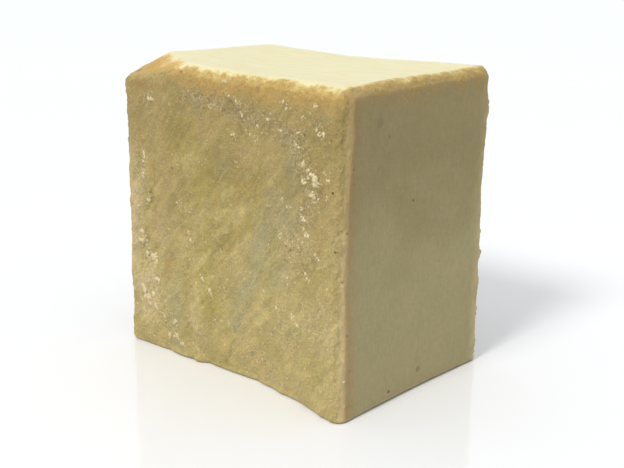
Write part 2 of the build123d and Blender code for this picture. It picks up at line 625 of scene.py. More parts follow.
    def roughen(self, piece: Piece, skin: Skin, fields: dict[str, Field]) -> None:
        """Gives the block its relief, as applied modifiers.

        Args:
            piece: The wrapped block.
            skin: Its skin before the relief.
            fields: Where the marks lie.
        """
        clear = smooth_step(skin.points[:, 2], 0.2, self.foot_clear)
        torn = fields["torn"] * clear
        smooth = (1.0 - fields["torn"]) * clear
        edge = fields["edge"] * clear
        ragged = self.near_upright(skin, Upright.BACK_RIGHT)
        reliefs = (
            (Relief("swell", Lump.SOFT, (13.0, 13.0, 13.0), 1.6), torn),
            (Relief("sway", Lump.SOFT, (17.0, 17.0, 17.0), 0.9), smooth),
            (Relief("drag", Lump.SOFT, (2.4, 2.4, 12.0), 0.7, 42.0), torn),
            (Relief("tear", Lump.TORN, (3.0, 3.0, 4.0), 0.24, 42.0, 3), torn),
            (Relief("grain", Lump.SOFT, (1.1, 1.1, 1.1), 0.2), torn),
            (Relief("crumble", Lump.CRUMB, (1.3, 1.3, 1.3), -0.45, 0.0, 1), torn * fields["crumbly"]),
            (Relief("scallop", Lump.SOFT, (3.4, 3.4, 3.4), 0.8), edge),
            (Relief("fray", Lump.TORN, (1.3, 1.3, 1.3), 0.55), edge),
            (Relief("nibble", Lump.TORN, (1.5, 1.5, 1.5), 1.1), ragged * clear),
            (Relief("break", Lump.SOFT, (3.2, 3.2, 3.2), 0.9), fields["broken"]),
        )
        for relief, field in reliefs:
            skin.group(relief.name, field)
            self.push(piece, relief)
        along_foot = skin.facing(Face.FRONT, 0.2, 0.6)
        near_foot = along_foot * (1.0 - smooth_step(skin.points[:, 2], 0.4, self.foot_spread))
        foot = self.sum_nicks(self.foot_nicks, skin.points[:, 0]) * near_foot
        edges = self.worn_edges(skin) * clear
        for name, field, height, way in (
            ("grooves", fields["groove"] * clear, -0.34, "NORMAL"),
            ("ridges", np.maximum(fields["ridge"], 0.6 * fields["dab"]) * clear, 0.32, "NORMAL"),
            ("proud", np.clip(edges, 0.0, 1.0), 1.0, "NORMAL"),
            ("worn", np.clip(-edges, 0.0, 1.0), -1.0, "NORMAL"),
            ("foot_proud", np.clip(foot, 0.0, 1.0), -1.0, "Y"),
            ("foot_worn", np.clip(-foot, 0.0, 1.0), 1.0, "Y"),
        ):
            skin.group(name, field)
            self.offset(piece, name, height, way)
        skin.group("softened", fields["broken"])
        soften = piece.modifiers.new("soften", "SMOOTH")
        soften.vertex_group = "softened"
        soften.iterations = self.softening
        bpy.ops.object.modifier_apply(modifier="soften")

    def sum_nicks(self, nicks: Iterable[Nick], along: Field) -> Field:
        """Adds up the nicks of one edge.

        Args:
            nicks: The nicks.
            along: Where each point lies along the edge, in millimetres.

        Returns:
            How far each point is pushed, in millimetres.
        """
        total = np.zeros(len(along))
        for nick in nicks:
            total += nick.push * np.exp(-(((along - nick.at) / nick.reach) ** 2))
        return total

    def worn_edges(self, skin: Skin) -> Field:
        """Works out how the nicks push the standing edges.

        Args:
            skin: The block's skin before the relief.

        Returns:
            How far each point is pushed, in millimetres.
        """
        total = np.zeros(len(skin.points))
        for upright, nicks in self.edge_nicks:
            total += self.sum_nicks(nicks, skin.points[:, 2]) * self.near_upright(skin, upright)
        return total

    def near_upright(self, skin: Skin, upright: Upright) -> Field:
        """Works out which points lie round a standing edge.

        Args:
            skin: The block's skin before the relief.
            upright: The edge.

        Returns:
            The field, from 0 to 1.
        """
        corner = skin.points[:, :2] * upright.value
        reach = corner.max(axis=0) - corner
        return 1.0 - smooth_step(np.hypot(reach[:, 0], reach[:, 1]), 0.8, self.nick_spread)

    def push(self, piece: Piece, relief: Relief) -> None:
        """Displaces the piece by one random relief, within the vertex group of its name.

        Args:
            piece: The block.
            relief: The relief.
        """
        texture = bpy.data.textures.new(relief.name, "CLOUDS")
        texture.noise_basis, texture.noise_type = relief.lump.value
        texture.noise_scale = 1.0
        texture.noise_depth = relief.detail
        lattice = bpy.data.objects.new(relief.name, None)
        bpy.context.scene.collection.objects.link(lattice)
        lattice.scale = Vector(relief.size) * MM
        lattice.rotation_euler.y = math.radians(relief.lean)
        bpy.context.view_layer.update()
        activate(piece)
        displace = piece.modifiers.new(relief.name, "DISPLACE")
        displace.texture = texture
        displace.texture_coords = "OBJECT"
        displace.texture_coords_object = lattice
        displace.vertex_group = relief.name
        displace.strength = relief.depth * MM
        displace.mid_level = 0.5
        bpy.ops.object.modifier_apply(modifier=relief.name)
        bpy.data.objects.remove(lattice)

    def offset(self, piece: Piece, name: str, height: float, way: str) -> None:
        """Moves the piece's points within one vertex group.

        Args:
            piece: The block.
            name: The group's name.
            height: How far, in millimetres.
            way: NORMAL, or the axis that they move along.
        """
        activate(piece)
        displace = piece.modifiers.new(name, "DISPLACE")
        displace.direction = way
        displace.vertex_group = name
        displace.strength = height * MM
        displace.mid_level = 0.0
        bpy.ops.object.modifier_apply(modifier=name)

    def level_foot(self, piece: Piece) -> None:
        """Presses whatever lies below the floor flat onto it.

        Args:
            piece: The block.
        """
        below = [vertex.co.z < 0.01 * MM for vertex in piece.data.vertices]
        open_with(piece, "VERT", np.array(below))
        bpy.ops.transform.resize(value=(1.0, 1.0, 0.0), center_override=(0.0, 0.0, 0.0))
        bpy.ops.object.mode_set(mode="OBJECT")


@dataclass(frozen=True)
class CrumbRun:
    """Crumbs strewn along a line on the torn face, in millimetres."""

    points: tuple[tuple[float, float], ...]
    count: int
    spread: float = 0.9
    size: float = 0.6


def crumb_runs(*rows: tuple[float, ...]) -> tuple[CrumbRun, ...]:
    """Makes a run of each row: its count, spread and size, then across and up for each of its points."""
    return tuple(CrumbRun(tuple(zip(row[3::2], row[4::2])), *row[:3]) for row in rows)


@dataclass
class Crumbs:
    """The loose crumbs and flakes of soap that stick to the torn face."""

    runs: tuple[CrumbRun, ...] = crumb_runs(
        # Down the left-hand margin
        (10, 0.6, 0.8, -25.6, 59.6, -23.2, 58.2), (4, 0.5, 0.5, -24.6, 55.6, -22.8, 54.8),
        (12, 0.5, 0.9, -26.9, 46.2, -27, 43.8), (8, 0.4, 0.85, -27.1, 42.6, -27, 40.4),
        (16, 0.6, 0.9, -24.8, 37.2, -26.4, 33.2),
        (30, 0.7, 0.95, -29.3, 27.4, -27.4, 27.6, -27.2, 25.8, -29, 25.4),
        (22, 0.7, 1, -26.8, 22.6, -24.6, 22.4, -24.2, 20.2), (18, 0.8, 0.9, -25.4, 18.8, -23.6, 16.2),
        (18, 0.7, 0.95, -28.8, 15.4, -27.8, 12.2), (20, 0.7, 0.95, -27.4, 14.6, -26.2, 10.8),
        (14, 0.8, 0.9, -29.6, 12.4, -28, 7.6), (4, 0.4, 0.6, -29.2, 9, -28, 7.6),
        (18, 0.5, 1, -25.2, 13.8, -24, 9.4), (7, 0.4, 0.95, -21.9, 9.6, -21.4, 7.4),
        (6, 0.4, 0.95, -18.7, 8.6, -18.1, 6.8), (4, 0.5, 0.6, -26.9, 3.4, -25.4, 2.8),
        (3, 0.3, 0.8, -20.8, 4.6, -20, 3.8), (22, 0.9, 0.9, -19, 5.2, -16.6, 2.6),
        # Across the top
        (2, 0.3, 0.8, -20.2, 62.6, -19.8, 62.4), (4, 0.4, 0.7, -1.2, 65.2, -0.2, 64.6),
        (7, 0.8, 0.45, -11, 60.6, -8.2, 60.2), (12, 0.7, 0.75, -6, 58.6, -3.2, 60.2),
        (12, 0.8, 0.55, -0.6, 63.2, 4.4, 61.2), (7, 0.4, 0.65, 3.8, 59.4, 5.2, 57.4),
        (14, 0.7, 0.65, 9.8, 59.6, 15.6, 57), (12, 0.8, 0.65, 15.2, 63, 17.8, 61),
        (5, 0.6, 0.5, 21, 61, 22.4, 59.8), (5, 0.5, 0.7, 24.4, 63.8, 25.4, 62.8),
        (9, 0.8, 0.9, 25.4, 58.8, 27, 57.4),
        # The pebbly patches in the middle
        (8, 0.5, 0.6, -0.2, 55.2, 2.8, 53.4), (18, 1.1, 0.55, 5.6, 55.4, 8.6, 54.2),
        (8, 0.8, 0.55, 8, 56.6, 10.4, 55.6), (7, 0.4, 0.6, 1.4, 48.6, 2.4, 48),
        # The crumbling hollow at the right
        (6, 0.6, 0.6, 18.6, 57.6, 21.6, 56.8), (20, 0.8, 0.5, 18.8, 56.2, 20.6, 54, 21.8, 51.6),
        (22, 0.7, 0.85, 21.8, 51.4, 23.8, 49.8, 25.6, 48), (6, 0.4, 1.3, 25, 48.8, 25.8, 47.6),
        (22, 0.9, 0.8, 22, 48.4, 23.4, 45.8, 24.6, 44.6), (8, 0.7, 0.7, 26.6, 51, 28.8, 48.6),
        (4, 0.4, 0.6, 27.8, 46.8, 28.4, 45.4), (9, 0.7, 0.6, 19.6, 43.8, 21.4, 42),
        (3, 0.3, 1.2, 21, 40.6, 21.6, 39.8), (3, 0.2, 1, 15.4, 43, 15.8, 42.2),
        (7, 0.6, 0.6, 16.2, 42.4, 18.6, 41.6),
        # The broken-up lower right
        (18, 1.6, 0.5, 14.6, 36.6, 20.6, 34.6), (6, 0.5, 0.65, 21.6, 38.2, 23, 36.4),
        (7, 0.5, 0.75, 25.2, 33.6, 26.6, 32.4), (9, 0.6, 0.75, 21.8, 29, 23.4, 27.6),
        (8, 0.6, 0.6, 27.6, 30, 28.8, 26), (9, 0.8, 0.55, 15.6, 27, 18, 25),
        (9, 0.7, 0.6, 8.8, 22.4, 10.6, 20.8), (9, 0.6, 0.65, 12.2, 20, 13.8, 18.6),
        (10, 0.8, 0.6, 18.2, 18.8, 20.6, 16.8), (8, 0.8, 0.55, 23.2, 21, 25.2, 18.8),
        (8, 0.8, 0.55, 13.6, 16.6, 15.6, 15), (10, 1.4, 0.45, 21, 8.6, 26, 5.6),
        (6, 0.5, 0.6, 5.2, 6.6, 6.4, 5), (4, 0.4, 0.7, 3.8, 2.4, 4.8, 1.6),
        (4, 0.3, 0.8, 32.4, 9.2, 33, 8.2), (6, 0.5, 0.8, 33, 4.6, 33.8, 2.8),
        # Over the yellow middle and the lower left
        (10, 0.8, 0.5, -16.6, 37.4, -14, 35.4, -11.6, 36.2),
        (8, 0.35, 0.75, -13.4, 30.6, -13, 29, -11.8, 28), (8, 0.8, 0.5, -13.4, 23.6, -10, 24.8),
        (8, 0.4, 0.75, -9.4, 21.2, -9.2, 19.8), (6, 0.4, 0.5, -10.4, 19.2, -11.2, 17.4),
        (5, 0.3, 0.7, -7.4, 18.2, -6.4, 17.2), (7, 0.7, 0.5, -7.4, 12.4, -5.2, 11),
        (6, 0.6, 0.6, -13.8, 3.8, -9, 1.9),
    )
    strewn: int = 70  # more of them, singly, all over the face
    strewn_size: float = 0.36
    clear_of: tuple[float, ...] = (2.5, 1.5, 1.5, 4.0)  # the left, the right, the foot and the crown
    shapes: int = 6
    lean: float = 50.0
    lean_spread: float = 40.0
    start_ahead: float = 5.0  # how far before the face a crumb starts
    fall: float = 20.0  # how far it may go to meet the face
    sunk: float = 0.2  # how much of a crumb's width lies under the skin
    seed: int = 11

    def build(self, block: Piece) -> Piece:
        """Makes the crumbs and sets them down on the block.

        Args:
            block: The finished block.

        Returns:
            One mesh object that holds all the crumbs.
        """
        draw = random.Random(self.seed)
        shapes = [self.make_shape(index) for index in range(self.shapes)]
        skin = surface_of(block)
        crumbs = []
        for across, up, size in self.scatter(draw):
            crumb = self.set_down(skin, draw.choice(shapes), Vector((across, 0.0, up)) * MM, size * MM, draw)
            if crumb:
                crumbs.append(crumb)
        for shape in shapes:
            bpy.data.objects.remove(shape)
        deselect_all()
        for crumb in crumbs:
            crumb.select_set(True)
        bpy.context.view_layer.objects.active = crumbs[0]
        bpy.ops.object.join()
        piece = bpy.context.object
        piece.name = "soap_crumbs"
        bpy.ops.object.shade_smooth()
        return piece

    def make_shape(self, index: int) -> Piece:
        """Models one crumb, about one millimetre across.

        Args:
            index: Which of the shapes it is.

        Returns:
            The crumb, at the origin.
        """
        deselect_all()
        bpy.ops.mesh.primitive_uv_sphere_add(segments=8, ring_count=6, radius=0.5 * MM, location=(0, 0, 0))
        shape = bpy.context.object
        shape.data.transform(Matrix.Translation((3.0 * index * MM, 0.0, 0.0)))
        texture = bpy.data.textures.new("crumb", "CLOUDS")
        texture.noise_basis, texture.noise_type = Lump.TORN.value
        texture.noise_scale = 0.5 * MM
        rough = shape.modifiers.new("rough", "DISPLACE")
        rough.texture = texture
        rough.texture_coords = "LOCAL"
        rough.strength = 0.9 * MM
        rough.mid_level = 0.2
        bpy.ops.object.modifier_apply(modifier="rough")
        shape.data.transform(Matrix.Translation((-3.0 * index * MM, 0.0, 0.0)))
        return shape

    def scatter(self, draw: random.Random) -> list[tuple[float, float, float]]:
        """Draws where the crumbs lie.

        Args:
            draw: The seeded source of chance.

        Returns:
            How far across and up each one lies, and its size, in millimetres.
        """
        spots = []
        for run in self.runs:
            for _ in range(run.count):
                place = draw.random() * (len(run.points) - 1)
                leg = min(int(place), len(run.points) - 2)
                start, end = Vector(run.points[leg]), Vector(run.points[leg + 1])
                across, up = start.lerp(end, place - leg)
                size = run.size * draw.choice((0.6, 0.75, 0.95, 1.25, 1.6))
                across += draw.gauss(0.0, run.spread) / 2
                spots.append((across, up + draw.gauss(0.0, run.spread) / 2, size))
        low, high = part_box(NODE)
        left, right, foot, crown = self.clear_of
        for _ in range(self.strewn):
            across = draw.uniform(low.x / MM + left, high.x / MM - right)
            up = draw.uniform(low.z / MM + foot, high.z / MM - crown)
            spots.append((across, up, self.strewn_size * draw.uniform(0.6, 1.3)))
        return spots

    def set_down(
        self, skin: BVHTree, shape: Piece, spot: Vector, size: float, draw: random.Random
    ) -> Union[Piece, None]:
        """Copies a crumb onto the torn face.

        Args:
            skin: The block's surface.
            shape: The crumb's shape.
            spot: Where it lies, across and up the face, in metres.
            size: Its length in metres.
            draw: The seeded source of chance.

        Returns:
            The crumb, or nothing if the spot is off the face.
        """
        ahead = Vector((spot.x, CAD_BOX[0][1] - self.start_ahead * MM, spot.z))
        point, normal, _, _ = skin.ray_cast(ahead, Vector((0.0, 1.0, 0.0)), self.fall * MM)
        if point is None or normal.y > -0.5:
            return None
        turn = Matrix.Rotation(math.radians(self.lean + draw.gauss(0.0, self.lean_spread)), 4, "Z")
        squash = Vector((1.0, draw.uniform(0.5, 0.9), draw.uniform(0.4, 0.7))) * size / MM
        sink = point - normal * self.sunk * size
        crumb = shape.copy()
        crumb.data = shape.data.copy()
        facing = normal.to_track_quat("Z", "Y").to_matrix().to_4x4()
        crumb.data.transform(Matrix.Translation(sink) @ facing @ turn @ Matrix.Diagonal(squash).to_4x4())
        bpy.context.scene.collection.objects.link(crumb)
        return crumb


class Board:
    """Adds nodes to one shader tree and wires them."""

    def __init__(self, tree: bpy.types.NodeTree) -> None:
        """Starts on a material's, world's or group's tree."""
        self.tree = tree
        self.place: Union[Socket, None] = None  # the place in millimetres, where the tree has one

    def feed(self, socket: Socket, value: Feed) -> None:
        """Links a socket, or sets it.

        Args:
            socket: The input.
            value: Another node's output, or a plain number, vector or colour.
        """
        if isinstance(value, Socket):
            self.tree.links.new(value, socket)
        elif socket.type == "RGBA":
            socket.default_value = (*value, 1.0)
        else:
            socket.default_value = value

    def add(self, kind: str, feeds: dict[Union[str, int], Feed], **settings: object) -> bpy.types.Node:
        """Adds a node.

        Args:
            kind: The node's type.
            feeds: What its inputs get, by name or place.
            **settings: The node's own settings.

        Returns:
            The node.
        """
        node = self.tree.nodes.new(kind)
        for name, setting in settings.items():
            setattr(node, name, setting)
        for name, value in feeds.items():
            self.feed(node.inputs[name], value)
        return node

    def math(self, operation: str, first: Feed, second: Feed = 0.0, third: Feed = 0.0) -> Socket:
        """Adds a Math node."""
        return self.add("ShaderNodeMath", {0: first, 1: second, 2: third}, operation=operation).outputs[0]

    def times(self, first: Feed, second: Feed) -> Socket:
        """Multiplies two values."""
        return self.math("MULTIPLY", first, second)

    def plus(self, first: Feed, second: Feed) -> Socket:
        """Adds two values."""
        return self.math("ADD", first, second)

    def mix(self, share: Feed, first: Feed, second: Feed, blend: str = "MIX") -> Socket:
        """Mixes a share of a second colour, from 0 to 1, into a first one."""
        node = self.add("ShaderNodeMix", {0: share, 6: first, 7: second}, data_type="RGBA", blend_type=blend)
        return node.outputs[2]

    def grade(self, value: Feed, start: Feed, full: Feed, low: float = 0.0, high: float = 1.0) -> Socket:
        """Goes smoothly from low to high as a value goes from start to full."""
        feeds = {"Value": value, "From Min": start, "From Max": full, "To Min": low, "To Max": high}
        return self.add("ShaderNodeMapRange", feeds, interpolation_type="SMOOTHSTEP").outputs["Result"]

    def seen_or_lit(self, seen: Colour, lit: Colour) -> Socket:
        """Gives a colour as it is seen or mirrored, and another for the light that it sheds."""
        path = self.add("ShaderNodeLightPath", {})
        return self.mix(path.outputs["Is Diffuse Ray"], seen, lit)

    def noise(
        self, scale: float, detail: float = 3.0, rough: float = 0.55, at: Union[Socket, None] = None
    ) -> Socket:
        """Adds a Noise Texture at the board's own place or another, with so many lumps to a millimetre."""
        place = self.place if at is None else at
        feeds = {"Vector": place, "Scale": scale, "Detail": detail, "Roughness": rough}
        return self.add("ShaderNodeTexNoise", feeds).outputs["Fac"]

    def streaks(self, scale: Colour, detail: float = 3.0, lean: float = 0.0) -> Socket:
        """Adds a noise that leans about Y and is drawn out.

        Args:
            scale: Lumps to a millimetre along each axis, after the lean.
            detail: How many finer layers it has.
            lean: The lean in degrees.

        Returns:
            Its value, from 0 to 1.
        """
        feeds = {"Vector": self.place, "Rotation": (0.0, math.radians(lean), 0.0)}
        turned = self.add("ShaderNodeMapping", feeds).outputs["Vector"]
        drawn = self.add("ShaderNodeMapping", {"Vector": turned, "Scale": scale}).outputs["Vector"]
        return self.noise(1.0, detail, at=drawn)

    def tint(self, colour: Feed, share: Feed, factor: Colour) -> Socket:
        """Multiplies a colour by a factor, in part."""
        return self.mix(share, colour, factor, "MULTIPLY")

    def shade(self, colour: Feed, factor: Socket) -> Socket:
        """Makes a colour lighter or darker by a varying factor."""
        grey = self.add("ShaderNodeCombineColor", {0: factor, 1: factor, 2: factor}).outputs[0]
        return self.mix(1.0, colour, grey, "MULTIPLY")

    def read(self, name: str) -> Socket:
        """Reads one of the piece's own fields."""
        node = self.add("ShaderNodeAttribute", {}, attribute_type="GEOMETRY", attribute_name=name)
        return node.outputs["Fac"]

    def group(self, tree: bpy.types.NodeTree, feeds: dict[str, Feed]) -> Socket:
        """Places a node group at the board's own place, and gives its output."""
        return self.add("ShaderNodeGroup", {"Place": self.place, **feeds}, node_tree=tree).outputs[0]


def open_board(holder: Union[bpy.types.Material, bpy.types.World]) -> Board:
    """Clears the shader tree of a material or a world, and gives a board to build it on."""
    holder.use_nodes = True
    holder.node_tree.nodes.clear()
    return Board(holder.node_tree)


def new_group(name: str, *values: str) -> tuple[bpy.types.NodeTree, Board, list[Socket]]:
    """Starts a shader node group, from a place in millimetres and some values to a mask.

    Args:
        name: The group's name.
        *values: The names of the values that it takes besides the place.

    Returns:
        The group, a board to build it on, and those values.
    """
    tree = bpy.data.node_groups.new(name, "ShaderNodeTree")
    tree.interface.new_socket("Place", in_out="INPUT", socket_type="NodeSocketVector")
    for value in values:
        tree.interface.new_socket(value, in_out="INPUT", socket_type="NodeSocketFloat")
    tree.interface.new_socket("Mask", in_out="OUTPUT", socket_type="NodeSocketFloat")
    board = Board(tree)
    board.place, *given = tree.nodes.new("NodeGroupInput").outputs[: len(values) + 1]
    return tree, board, given


def make_scatter() -> bpy.types.NodeTree:
    """Builds the group that scatters small round spots at random.

    Returns:
        The group: how many cells a millimetre holds, the share of them with a spot, and its radius.
    """
    tree, board, (per_mm, share, radius) = new_group("scatter", "Per mm", "Share", "Radius")
    cells = board.add("ShaderNodeTexVoronoi", {"Vector": board.place, "Scale": per_mm})
    pick = board.add("ShaderNodeSeparateColor", {"Color": cells.outputs["Color"]})
    chosen = board.math("LESS_THAN", pick.outputs[0], share)
    rim = board.times(radius, board.grade(pick.outputs[1], 0.0, 1.0, 0.5, 1.0))
    spot = board.grade(cells.outputs["Distance"], rim, board.times(rim, 0.5))
    board.add("NodeGroupOutput", {0: board.times(spot, chosen)})
    return tree


def make_flakes() -> bpy.types.NodeTree:
    """Builds the group that draws the thin curled rims of flakes.

    Returns:
        The group: how many flakes a millimetre holds, and how much is left bare.
    """
    tree, board, (per_mm, bare) = new_group("flakes", "Per mm", "Bare")
    bend = board.add("ShaderNodeTexNoise", {"Vector": board.place, "Scale": 0.8, "Detail": 2.0})
    feeds = {0: bend.outputs["Color"], 1: (1.8, 1.8, 1.8), 2: board.place}
    bent = board.add("ShaderNodeVectorMath", feeds, operation="MULTIPLY_ADD").outputs["Vector"]
    cells = board.add("ShaderNodeTexVoronoi", {"Vector": bent, "Scale": per_mm}, feature="DISTANCE_TO_EDGE")
    rim = board.grade(cells.outputs["Distance"], 0.13, 0.02)
    kept = board.grade(board.noise(0.9, 2.0), bare, board.plus(bare, 0.1))
    board.add("NodeGroupOutput", {0: board.times(rim, kept)})
    return tree


@dataclass(frozen=True)
class Speck:
    """A dark speck or a stain on the block, in millimetres: a point of its skin, and its size."""

    point: tuple[float, float, float]
    radius: float
    amount: float = 1.0


def skin_point(skin: BVHTree, face: Face, across: float, up: float) -> tuple[float, float, float]:
    """Finds a point of the block's skin.

    Args:
        skin: The block's surface.
        face: The face the point is on.
        across: How far across the face it lies, in millimetres.
        up: How far up the face it lies.

    Returns:
        The point in millimetres.
    """
    start = Vector(face.outward) * 100.0 * MM
    start[face.axes[0]] = across * MM
    start[face.axes[1]] = up * MM
    point, _, _, _ = skin.ray_cast(start, -Vector(face.outward))
    return tuple(point / MM)


@dataclass(frozen=True)
class SoapFinish:
    """Dry olive-oil soap: torn and waxy in front, smooth and matte on the cut ends, pale on the crown."""

    tan: Colour = (0.55, 0.43, 0.168)
    olive: Colour = (0.48, 0.385, 0.132)
    # yellow, ochre and grey are a little darker than the soap itself: painted shade of the hollow middle of
    # the torn face, where they lie most
    yellow: Colour = (0.46, 0.37, 0.098)
    ochre: Colour = (0.40, 0.315, 0.082)
    grey: Colour = (0.455, 0.393, 0.187)
    pale: Colour = (0.66, 0.515, 0.25)
    dab: Colour = (0.62, 0.52, 0.20)
    # the flake rims and the pale flecks; the flecks are partly painted glints
    dust: Colour = (0.80, 0.69, 0.40)
    crumb: Colour = (0.86, 0.74, 0.44)
    # painted shade of small pits among the crumbs
    pit_shade: Colour = (0.34, 0.26, 0.10)
    end: Colour = (0.495, 0.415, 0.208)
    end_deep: Colour = (0.46, 0.395, 0.19)
    strip: Colour = (0.49, 0.345, 0.15)
    brow: Colour = (0.75, 0.60, 0.29)
    amber: Colour = (0.55, 0.35, 0.095)
    side_amber: Colour = (0.44, 0.30, 0.098)
    gold: Colour = (0.61, 0.42, 0.125)
    side_gold: Colour = (0.51, 0.36, 0.115)
    straw: Colour = (0.74, 0.595, 0.245)
    golden: Colour = (1.12, 1.01, 0.74)  # what the broken corner's colour is multiplied by
    cream: Colour = (0.83, 0.775, 0.50)
    cream_deep: Colour = (0.79, 0.72, 0.43)
    stain: Colour = (0.42, 0.26, 0.075)
    # the dark specks, and the painted shade in the hair cracks
    dark: Colour = (0.10, 0.07, 0.03)
    top_shade: Colour = (0.79, 0.745, 0.67)  # what the soap's colour is multiplied by near the top: painted shade
    top_shade_low: float = 18.0
    top_shade_high: float = 58.0
    glow: Colour = (1.0, 0.62, 0.25)
    glow_depth: float = 1.6
    glow_share: float = 0.35
    bending: float = 1.46
    drag: float = -40.0  # how far the streaks of the torn face lean, in degrees
    grains: float = 0.65  # how strongly the fine grains differ in shade
    torn_rough: float = 0.42
    end_rough: float = 0.62

    def make(self, specks: Iterable[Speck]) -> bpy.types.Material:
        """Builds the block's material.

        Args:
            specks: The specks that are placed one by one.

        Returns:
            The material.
        """
        material, board = self.start("olive_oil_soap")
        scatter = make_scatter()
        torn = board.read("torn")
        grain = board.streaks((3.4, 3.4, 0.5), 2.0)
        bare = board.grade(board.read("crumbly"), 0.0, 1.0, 0.58, 0.42)
        flakes = board.group(make_flakes(), {"Per mm": 0.85, "Bare": bare})
        face = self.torn_colour(board, scatter, flakes)
        colour = board.mix(torn, self.end_colour(board, grain), face)
        # painted shade: darker and browner towards the top
        colour = self.age(board, colour)
        colour = self.rim_colour(board, torn, colour)
        dust = board.group(scatter, {"Per mm": 0.42, "Share": 0.16, "Radius": 0.07})
        dark = board.times(dust, 0.5)
        for speck in specks:
            dark = board.math("MAXIMUM", dark, self.speck(board, speck))
        # painted shade in the hair cracks
        dark = board.math("MAXIMUM", dark, self.crack_shade(board))
        colour = board.mix(dark, colour, self.dark)
        rough = board.grade(torn, 0.0, 1.0, self.end_rough, self.torn_rough)
        rough = board.plus(rough, board.grade(board.noise(0.6), 0.3, 0.7, -0.07, 0.07))
        self.finish(board, colour, rough, self.height(board, torn, grain, flakes), self.glow_share)
        return material

    def make_crumbs(self) -> bpy.types.Material:
        """Builds the crumbs' material.

        Returns:
            The material.
        """
        material, board = self.start("soap_crumb")
        each = board.grade(board.noise(0.75, 2.0, 0.6), 0.28, 0.6)
        # the crumbs get the same painted shade towards the top
        colour = board.mix(each, self.age(board, self.pale), self.crumb)
        rough = board.grade(each, 0.0, 1.0, 0.5, 0.3)
        height = board.times(board.noise(4.0, 2.0), 0.08)
        self.finish(board, colour, rough, height, 0.0)
        return material

    def start(self, name: str) -> tuple[bpy.types.Material, Board]:
        """Starts a material.

        Args:
            name: The material's name.

        Returns:
            The material, and a board to build it on.
        """
        material = bpy.data.materials.new(name)
        board = open_board(material)
        coordinates = board.add("ShaderNodeTexCoord", {})
        feeds = {"Vector": coordinates.outputs["Object"], "Scale": (1.0 / MM,) * 3}
        board.place = board.add("ShaderNodeMapping", feeds).outputs["Vector"]
        return material, board

    def finish(self, board: Board, colour: Feed, rough: Feed, height: Feed, glow_share: float) -> None:
        """Ends a material with its shader.

        Args:
            board: The material's board.
            colour: The colour.
            rough: The roughness.
            height: The fine relief in millimetres.
            glow_share: How much of the light spreads inside the soap.
        """
        bump = board.add("ShaderNodeBump", {"Strength": 1.0, "Distance": MM, "Height": height})
        feeds = {
            "Base Color": colour,
            "Roughness": rough,
            "IOR": self.bending,
            "Normal": bump.outputs["Normal"],
            "Subsurface Weight": glow_share,
            "Subsurface Radius": self.glow,
            "Subsurface Scale": self.glow_depth * MM,
        }
        shader = board.add("ShaderNodeBsdfPrincipled", feeds)
        board.add("ShaderNodeOutputMaterial", {"Surface": shader.outputs["BSDF"]})

    def torn_colour(self, board: Board, scatter: bpy.types.NodeTree, flakes: Socket) -> Socket:
        """Colours the torn face.

        Args:
            board: The material's board.
            scatter: The group that scatters spots.
            flakes: The mask of the flakes' rims.

        Returns:
            The colour.
        """
        streaks = board.streaks((0.5, 0.5, 0.09), 3.0, self.drag)
        clouds = board.grade(board.noise(0.12, 2.0), 0.35, 0.65)
        colour = board.mix(clouds, self.olive, self.tan)
        # the yellow, ochre and grey patches carry some painted shade of the hollow middle
        for field, pattern, grading, paint in (
            ("yellow", streaks, (0.38, 0.6, 0.5, 1.0), self.yellow),
            ("yellow", streaks, (0.48, 0.34, 0.0, 0.75), self.ochre),
            ("grey", streaks, (0.6, 0.4, 0.5, 1.0), self.grey),
            ("pale", board.noise(0.25), (0.35, 0.6, 0.5, 1.0), self.pale),
            ("dab", streaks, (0.3, 0.6, 0.4, 0.85), self.dab),
        ):
            colour = board.mix(board.times(board.read(field), board.grade(pattern, *grading)), colour, paint)
        crumbly = board.read("crumbly")
        colour = board.mix(board.times(crumbly, 0.3), colour, self.pale)
        smears = board.streaks((0.9, 0.9, 0.16), 3.0, self.drag)
        colour = board.shade(colour, board.grade(smears, 0.3, 0.7, 0.91, 1.09))
        colour = board.shade(colour, board.grade(board.noise(0.5, 5.0, 0.6), 0.3, 0.7, 0.92, 1.08))
        # painted shade: dark spots in the crumbly patches for the shaded pits
        pit_shade_mask = board.times(board.grade(board.noise(1.3, 3.0), 0.44, 0.3), crumbly)
        colour = board.mix(board.times(pit_shade_mask, 0.7), colour, self.pit_shade)
        colour = board.mix(board.times(flakes, 0.65), colour, self.dust)
        # pale flecks: real flakes of soap, partly painted glints
        share = board.plus(0.04, board.times(crumbly, 0.3))
        fine = board.group(scatter, {"Per mm": 1.15, "Share": share, "Radius": 0.42})
        return board.mix(board.times(fine, 0.6), colour, self.dust)

    def end_colour(self, board: Board, grain: Socket) -> Socket:
        """Colours the smooth cut ends.

        Args:
            board: The material's board.
            grain: The fine upright grain.

        Returns:
            The colour.
        """
        clouds = board.grade(board.noise(0.09, 3.0), 0.3, 0.7)
        colour = board.mix(clouds, self.end_deep, self.end)
        ragged = board.grade(board.noise(0.5), 0.3, 0.6, 0.45, 1.0)
        colour = board.mix(board.times(board.read("strip"), ragged), colour, self.strip)
        worn = board.math("MAXIMUM", board.read("brow"), board.times(board.read("edge"), 0.6))
        colour = board.mix(board.times(worn, ragged), colour, self.brow)
        across = board.streaks((0.6, 0.6, 4.0), 2.0)
        weave = board.plus(grain, board.times(across, 0.6))
        return board.shade(colour, board.grade(weave, 0.5, 1.1, 0.92, 1.07))

    def age(self, board: Board, colour: Feed) -> Socket:
        """Darkens and browns the soap towards the top: painted shade, standing in for the floor's bounce
        light that lifts the lower part.

        Args:
            board: The material's board.
            colour: The colour.

        Returns:
            The colour with its painted shade.
        """
        up = board.add("ShaderNodeSeparateXYZ", {"Vector": board.place}).outputs["Z"]
        up = board.plus(up, board.grade(board.noise(0.07, 2.0), 0.3, 0.7, -7.0, 7.0))
        return board.tint(colour, board.grade(up, self.top_shade_low, self.top_shade_high), self.top_shade)

